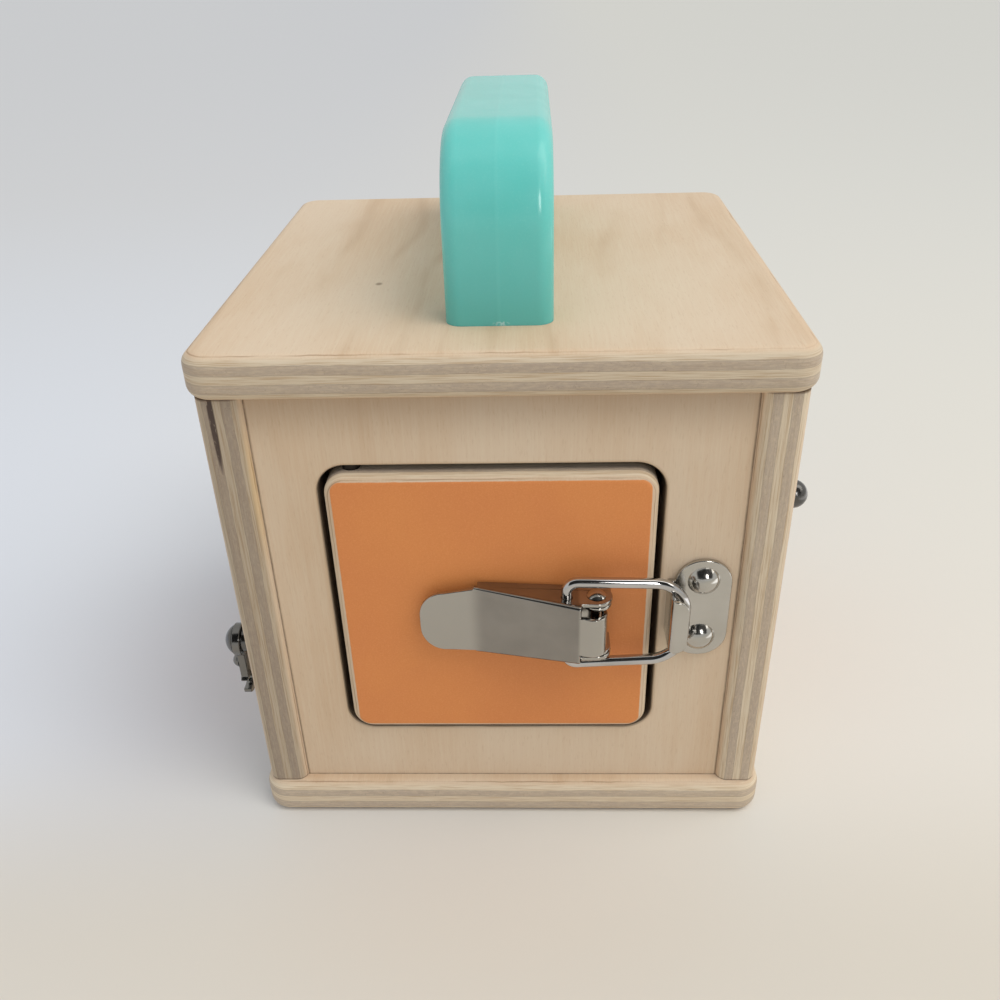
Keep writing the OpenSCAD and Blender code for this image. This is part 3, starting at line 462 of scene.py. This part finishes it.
# painted shade: the left panel's cut edges are darkened for the shade on that side
left_ply = plywood("plywood_left", X, -SIDE_OUT, 1, Z, 0.9, 33.0, left_marks,
                   seams=rails + (left_stile,), edge_shade_and_tone=0.85, opening=left_way)
right_ply = plywood("plywood_right", X, SIDE_OUT, -1, Z, 0.9, 47.0,
                    seams=rails + (right_stile,), edge_shade_and_tone=0.12, opening=right_way)
front_ply = plywood("plywood_front", Y, -FRONT_OUT, 1, Z, 0.35, 58.0,
                    seams=rails + stiles, shade=under_top, opening=front_way)
back_ply = plywood("plywood_back", Y, FRONT_OUT, -1, Z, 0.6, 66.0,
                   seams=rails + stiles, shade=under_top, opening=back_way)
stop_wood = dowel_wood()
front_paint = plywood("painted_front", Y, -FRONT_OUT - DOOR_PROUD, 1, Z, 0.5, 71.0, paint=front_way)
back_paint = plywood("painted_back", Y, FRONT_OUT + DOOR_PROUD, -1, Z, 0.5, 75.0, paint=back_way)
left_paint = plywood("painted_left", X, -SIDE_OUT - DOOR_PROUD, 1, Z, 0.5, 83.0, paint=left_way)
right_paint = plywood("painted_right", X, SIDE_OUT + DOOR_PROUD, -1, Z, 0.5, 87.0, paint=right_way)
teal = handle_plastic()
nickel = metal("nickel_plate", srgb(198, 196, 192), srgb(187, 185, 180), 0.13, (0.5, 2.6, 2.6))
# painted highlight on the lever's tab and nose
lever_nickel = metal("nickel_lever", srgb(157, 154, 150), srgb(143, 140, 136), 0.15,
                     (0.35, 3.0, 3.0), 0.6, painted_highlight=(-6.8, 16.7))
# painted shade: the hook's nickel is darker as the left side lies in shade
hook_nickel_shaded = metal("nickel_hook_shaded", srgb(132, 131, 129), srgb(114, 113, 111), 0.17)
rivet_nickel = metal("nickel_rivet", srgb(200, 198, 194), srgb(182, 180, 175), 0.13)
# painted shade: a darker nickel for the bolt's knob and the hook's stud, which show dark reflections
shaded_nickel = metal("nickel_shaded", srgb(116, 115, 114), srgb(94, 93, 92), 0.20)
wire_steel = metal("wire_steel", srgb(204, 204, 206), srgb(186, 185, 185), 0.03,
                   (0.4, 1.8, 1.8), 0.3)
# painted shade: the pins are dark for the shade in the gaps where they show
pin_steel_shaded = metal("pin_steel_shaded", srgb(62, 58, 55), srgb(50, 46, 44), 0.5)

LOOKS = {
    "base_panel": base_ply, "top_panel": top_ply, "left_panel": left_ply, "right_panel": right_ply,
    "front_panel": front_ply, "back_panel": back_ply, "panel_dowels": stop_wood,
    "door_stops": stop_wood, "handle": teal, "handle_screws": pin_steel_shaded,
    "catch_plate": nickel, "catch_rivets": rivet_nickel, "bolt_keeper": nickel,
    "keeper_rivets": rivet_nickel, "hook_plate": nickel, "hook_plate_rivets": rivet_nickel,
    "hook_pivot_stud": shaded_nickel, "button_spacer": pin_steel_shaded, "button_rivet": rivet_nickel,
    "front_door": front_paint, "front_hinge_pins": pin_steel_shaded, "latch_base": nickel,
    "latch_base_rivets": rivet_nickel, "latch_pivot_pin": rivet_nickel, "latch_lever": lever_nickel,
    "latch_bail": wire_steel, "right_door": right_paint, "right_hinge_pins": pin_steel_shaded,
    "bolt_base": nickel, "bolt_base_rivets": rivet_nickel, "slide_bolt": wire_steel,
    "bolt_knob": shaded_nickel, "left_door": left_paint, "left_hinge_pins": pin_steel_shaded,
    "door_stud": rivet_nickel, "swing_hook": hook_nickel_shaded, "back_door": back_paint,
    "back_hinge_pins": pin_steel_shaded, "turn_button": nickel,
}
for name, mat in LOOKS.items():
    for slot in nodes[name].material_slots:
        slot.link = "OBJECT"
        slot.material = mat

# Angles that count as flat, as an edge to round and as a sharp edge to keep, and when points join
FLAT_ANGLE = math.radians(0.4)
EDGE_ANGLE = math.radians(28)
SHARP_ANGLE = math.radians(40)
JOIN_BEFORE, JOIN_AFTER = 2e-6, 4e-6


def ramp(value, low, high):
    """0 below low, 1 above high, straight between."""
    return min(1.0, max(0.0, (value - low) / (high - low)))


def smooth_object(name, bm, mat):
    """The finished mesh as an object of the scene, smooth apart from its sharp edges."""
    mesh = bpy.data.meshes.new(name)
    bm.to_mesh(mesh)
    bm.free()
    for poly in mesh.polygons:
        poly.use_smooth = True
    mesh.set_sharp_from_angle(angle=SHARP_ANGLE)
    mesh.materials.append(mat)
    obj = bpy.data.objects.new(name, mesh)
    scene.collection.objects.link(obj)
    return obj


def round_edges(bm, edges, radius, segments):
    bmesh.ops.bevel(bm, geom=edges, offset=radius / MM, offset_type="OFFSET", segments=segments,
                    profile=0.5, affect="EDGES", clamp_overlap=False)


def dressed(node, width, move=None, bend=None):
    """A metal node with its cut edges rounded, in place of the sharp one. move gives each point
    its place in millimetres, bend picks the edges that are folds of the sheet and gives their
    radius."""
    src = nodes[node]
    bm = bmesh.new()
    bm.from_mesh(src.data)
    bmesh.ops.remove_doubles(bm, verts=bm.verts, dist=JOIN_BEFORE)
    bmesh.ops.dissolve_limit(bm, angle_limit=FLAT_ANGLE, verts=bm.verts, edges=bm.edges,
                             use_dissolve_boundaries=False)

    def sharp_edges():
        return [e for e in bm.edges if len(e.link_faces) == 2 and e.calc_face_angle(0.0) > EDGE_ANGLE]

    if bend is not None:
        is_fold, radius = bend
        round_edges(bm, [e for e in sharp_edges() if is_fold(e)], radius, 4)
    if width:
        round_edges(bm, sharp_edges(), width, 2)
    if move is not None:
        for v in bm.verts:
            v.co = Vector(move(*(v.co * MM))) / MM
    bmesh.ops.remove_doubles(bm, verts=bm.verts, dist=JOIN_AFTER)
    bmesh.ops.dissolve_degenerate(bm, dist=JOIN_AFTER, edges=bm.edges)
    obj = smooth_object(node + "_dressed", bm, LOOKS[node])
    even = obj.modifiers.new("even", "WEIGHTED_NORMAL")
    even.keep_sharp = True
    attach(obj, src["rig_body"])
    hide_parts(node)
    return obj


# Lever: its middle height, the bend of its tab, the start of the tab's round end, and its nose
LEVER_MID, TAB_BEND, TAB_ARC, NOSE = 65.0, -7.1, -13.8, 19.1
BEND_REACH, TAB_HALF = 0.7, 7.7

# How much wider it gets: for the tab at its round end and what the bend adds, else at the bend
TAB_UP, TAB_DOWN = (1.062, 0.150), (1.120, 0.020)
BODY_UP, BODY_DOWN = 0.185, 0.060

# A fold of the lever is an edge at least so long, so far from the middle, and in front of that Y
FOLD_LONG, FOLD_OFF, FOLD_Y, FOLD_R = 12.0, 7.9, -67.0, 0.9


def lever_taper(x, y, z):
    """The pressed lever widens from its nose to its tab, more on the upper side."""
    off = z - LEVER_MID
    if x < TAB_BEND + BEND_REACH and abs(off) < TAB_HALF:
        least, gain = TAB_UP if off > 0 else TAB_DOWN
        scale = least + gain * ramp(x, TAB_ARC, TAB_BEND)
    else:
        scale = 1.0 + (BODY_UP if off > 0 else BODY_DOWN) * ramp(-x, -NOSE, -TAB_BEND)
    return x, y, LEVER_MID + off * scale


def lever_fold(edge):
    a, b = (v.co * MM for v in edge.verts)
    nearest = min(abs(a.z - LEVER_MID), abs(b.z - LEVER_MID))
    return (a - b).length > FOLD_LONG and nearest > FOLD_OFF and (a.y + b.y) / 2 < FOLD_Y


# Wire loop: its middle height, where it starts to close in and ends, by how much, and half its width
BAIL_MID, BAIL_START, BAIL_END = 65.8, 14.0, 40.9
BAIL_CLOSE, BAIL_HALF = 0.9, 9.0
WIRE_PLATING = 0.10


def bail_taper(x, y, z):
    """The wire loop closes in towards the hook, from above."""
    side = max(-1.0, min(1.0, (z - BAIL_MID) / BAIL_HALF))
    return x, y, z - BAIL_CLOSE * ramp(x, BAIL_START, BAIL_END) * (side + 1.0)


for name, width in (("catch_plate", 0.30), ("latch_base", 0.18), ("bolt_base", 0.25),
                    ("bolt_keeper", 0.25), ("hook_plate", 0.28), ("swing_hook", 0.25),
                    ("turn_button", 0.50)):
    dressed(name, width)
dressed("latch_lever", 0.2, move=lever_taper, bend=(lever_fold, FOLD_R))
bail = dressed("latch_bail", 0.0, move=bail_taper)
plating = bail.modifiers.new("plating", "DISPLACE")
plating.strength = WIRE_PLATING / MM
plating.mid_level = 0.0

# Handle bar: section, corner radius, radius of its bends, middle of its legs and height on the top
BAR_WIDE, BAR_THICK, BAR_CORNER, BAR_BEND = 23.0, 11.0, 3.5, 14.0
BAR_LEG, BAR_HIGH = 44.0, 38.5
PARTING_LINE = ((0.6, 0.0), (0.2, 0.04), (-0.2, 0.04), (-0.6, 0.0))
CORNER_STEPS, BEND_STEPS = 8, 20


def handle_section():
    """Outline of the bar, across and through it, with a low ridge where the mould parts."""
    points = []
    for side, face, start in ((1, 1, 0), (-1, 1, 90), (-1, -1, 180), (1, -1, 270)):
        for i in range(CORNER_STEPS + 1):
            a = math.radians(start + 90 * i / CORNER_STEPS)
            points.append((side * (BAR_WIDE / 2 - BAR_CORNER) + BAR_CORNER * math.cos(a),
                           face * (BAR_THICK / 2 - BAR_CORNER) + BAR_CORNER * math.sin(a)))
        if side == face:
            points += [(u * side, (BAR_THICK / 2 + lift) * face) for u, lift in PARTING_LINE]
    return points


def handle_path():
    """Places along the bar from the front foot to the back one: Y, Z and how far it has turned."""
    top, level = BOX_H + BAR_HIGH - BAR_THICK / 2, math.pi / 2
    half = [(-BAR_LEG, BOX_H + up, 0.0) for up in (0.0, 6.0, 12.0)]
    half += [(-BAR_LEG + BAR_BEND - BAR_BEND * math.cos(a), top - BAR_BEND + BAR_BEND * math.sin(a), a)
             for a in (level * i / BEND_STEPS for i in range(BEND_STEPS + 1))]
    half.append((-15.0, top, level))
    return half + [(0.0, top, level)] + [(-y, z, math.pi - a) for y, z, a in reversed(half)]


def moulded_handle():
    """The same bar as the solid, with its long edges truly round."""
    section = handle_section()
    bm = bmesh.new()
    rows = []
    for y, z, a in handle_path():
        out_y, out_z = -math.cos(a), math.sin(a)
        rows.append([bm.verts.new((u / MM, (y + v * out_y) / MM, (z + v * out_z) / MM))
                     for u, v in section])
    for lower, upper in zip(rows, rows[1:]):
        for i in range(len(section)):
            j = (i + 1) % len(section)
            bm.faces.new((lower[i], lower[j], upper[j], upper[i]))
    bm.faces.new(rows[0])
    bm.faces.new(rows[-1])
    bmesh.ops.recalc_face_normals(bm, faces=bm.faces)
    obj = smooth_object("handle_moulded", bm, teal)
    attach(obj, "box")
    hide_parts("handle")


moulded_handle()

# Stage: floor, cards, lights, surroundings and camera, in metres
FLOOR_SIDE = 12.0
FLOOR_DROP = 0.0001


def floor_material():
    """White paper, its tone painted to follow the light: cooler at the left where it lies in shade,
    warmer at the right, greyer far off, darker and warmer in front.
    """
    s = Shader("floor_paper")
    # painted light: these tones stand in for how the lamps fall on the floor
    side = s.step(s.x, -260.0, 220.0)
    near = s.step(s.y, -30.0, -110.0)
    far = s.step(s.y, -150.0, 700.0)
    tone = s.mix(side, srgb(227, 231, 237), srgb(231, 226, 214))
    tone = s.mix(far, tone, s.mix(side, srgb(221, 220, 218), srgb(230, 227, 217)))
    tone = s.mix(s.mul(near, 0.85), tone, srgb(219, 211, 196))
    grit = s.noise(s.p, 0.6, 3, 0.6)
    tone = s.mix(s.mul(grit, 0.05), tone, srgb(200, 198, 194))
    return s.finish(tone, s.add(0.8, s.mul(grit, 0.1)), None, Specular_IOR_Level=0.0)


def sheet(name, wide, high, mat):
    """A flat piece about its own middle that faces +Z."""
    w, h = wide / 2, high / 2
    mesh = bpy.data.meshes.new(name)
    mesh.from_pydata([(-w, -h, 0), (w, -h, 0), (w, h, 0), (-w, h, 0)], [], [(0, 1, 2, 3)])
    mesh.materials.append(mat)
    obj = bpy.data.objects.new(name, mesh)
    scene.collection.objects.link(obj)
    return obj


def aim(obj, direction):
    """Turn an object so that its +Z points that way."""
    obj.rotation_mode = "QUATERNION"
    obj.rotation_quaternion = direction.to_track_quat("Z", "Y")


floor = sheet("floor", FLOOR_SIDE, FLOOR_SIDE, floor_material())
floor.location.z = -FLOOR_DROP


def card(name, centre, toward, wide, high, glow=0.0):
    """A studio card that only reflections see: dark, or glowing by glow to put highlights on glossy
    parts.
    """
    mat = bpy.data.materials.new(name)
    mat.use_nodes = True
    inputs = mat.node_tree.nodes["Principled BSDF"].inputs
    inputs["Base Color"].default_value = (0.03, 0.03, 0.03, 1)
    inputs["Roughness"].default_value = 1.0
    inputs["Emission Color"].default_value = (1, 0.98, 0.95, 1)
    inputs["Emission Strength"].default_value = glow
    obj = sheet(name, wide, high, mat)
    obj.location = centre
    aim(obj, Vector(toward) - Vector(centre))
    obj.visible_camera = False
    obj.visible_diffuse = False
    obj.visible_shadow = False
    obj.visible_transmission = False


card("card_front", (0.10, -0.75, 0.80), (0.0, -0.06, 0.08), 2.3, 1.3)
# glowing cards, seen only in reflections: highlights on right-hand edges and a window streak on the
# handle
card("card_right", (0.36, 0.02, 0.003), (0.36, 0.02, 1.0), 0.34, 0.5, 1.6)
card("card_window", (0.256, -0.60, 0.41), (0.01, -0.047, 0.155), 0.10, 0.24, 12.0)


def light(name, kind, energy, colour):
    data = bpy.data.lights.new(name, kind)
    data.energy = energy
    data.color = colour
    obj = bpy.data.objects.new(name, data)
    scene.collection.objects.link(obj)
    return obj


key = light("key", "SUN", 0.88, (1.0, 0.955, 0.88))
key.data.angle = math.radians(48)
aim(key, Vector((0.60, -0.10, 0.79)))

fill = light("fill", "AREA", 1.74, (1.0, 0.96, 0.90))
fill.data.size = 0.42
fill.location = (0.30, -0.32, 0.85)
fill.visible_glossy = False
aim(fill, fill.location - Vector((0.02, -0.05, 0.06)))

# Surroundings: a grey wall for the camera and reflections, cool light that grows to the right else
AMBIENT = (0.93, 0.98, 1.06, 1)
AMBIENT_LEFT, AMBIENT_RIGHT = 0.58, 0.70
WALL = srgb(214, 213, 209)

world = bpy.data.worlds.new("studio")
scene.world = world
world.use_nodes = True
sky = world.node_tree
sky.nodes.clear()


def larger(a, b):
    node = sky.nodes.new("ShaderNodeMath")
    node.operation = "MAXIMUM"
    sky.links.new(a, node.inputs[0])
    sky.links.new(b, node.inputs[1])
    return node.outputs[0]


ray = sky.nodes.new("ShaderNodeLightPath").outputs
seen = larger(larger(ray["Is Camera Ray"], ray["Is Glossy Ray"]), ray["Is Transmission Ray"])
coord = sky.nodes.new("ShaderNodeTexCoord")
split = sky.nodes.new("ShaderNodeSeparateXYZ")
sky.links.new(coord.outputs["Generated"], split.inputs[0])
level = sky.nodes.new("ShaderNodeMapRange")
for i, v in enumerate((-1.0, 1.0, AMBIENT_LEFT, AMBIENT_RIGHT)):
    level.inputs[i + 1].default_value = v
sky.links.new(split.outputs[0], level.inputs[0])
ambient = sky.nodes.new("ShaderNodeBackground")
ambient.inputs["Color"].default_value = AMBIENT
sky.links.new(level.outputs[0], ambient.inputs["Strength"])
wall = sky.nodes.new("ShaderNodeBackground")
wall.inputs["Color"].default_value = WALL
blend = sky.nodes.new("ShaderNodeMixShader")
for i, socket in enumerate((seen, ambient.outputs[0], wall.outputs[0])):
    sky.links.new(socket, blend.inputs[i])
world_out = sky.nodes.new("ShaderNodeOutputWorld")
sky.links.new(blend.outputs[0], world_out.inputs[0])

# Camera fitted to the edges of the box: its place and its own three axes
CAM_PLACE = (0.0072035, -0.241639, 0.202457)
CAM_RIGHT = (0.99928, 0.02676, -0.02677)
CAM_UP = (0.00921, 0.51406, 0.85770)
CAM_BACK = (0.03672, -0.85733, 0.51344)

cam_data = bpy.data.cameras.new("camera")
cam_data.sensor_width = 36.0
cam_data.lens = 34.64
cam_data.clip_start = 0.01
cam_data.clip_end = 50.0
cam = bpy.data.objects.new("camera", cam_data)
turned = Matrix((CAM_RIGHT, CAM_UP, CAM_BACK)).transposed().to_4x4()
cam.matrix_world = Matrix.Translation(CAM_PLACE) @ turned
scene.collection.objects.link(cam)
scene.camera = cam
scene.view_settings.view_transform = "Standard"
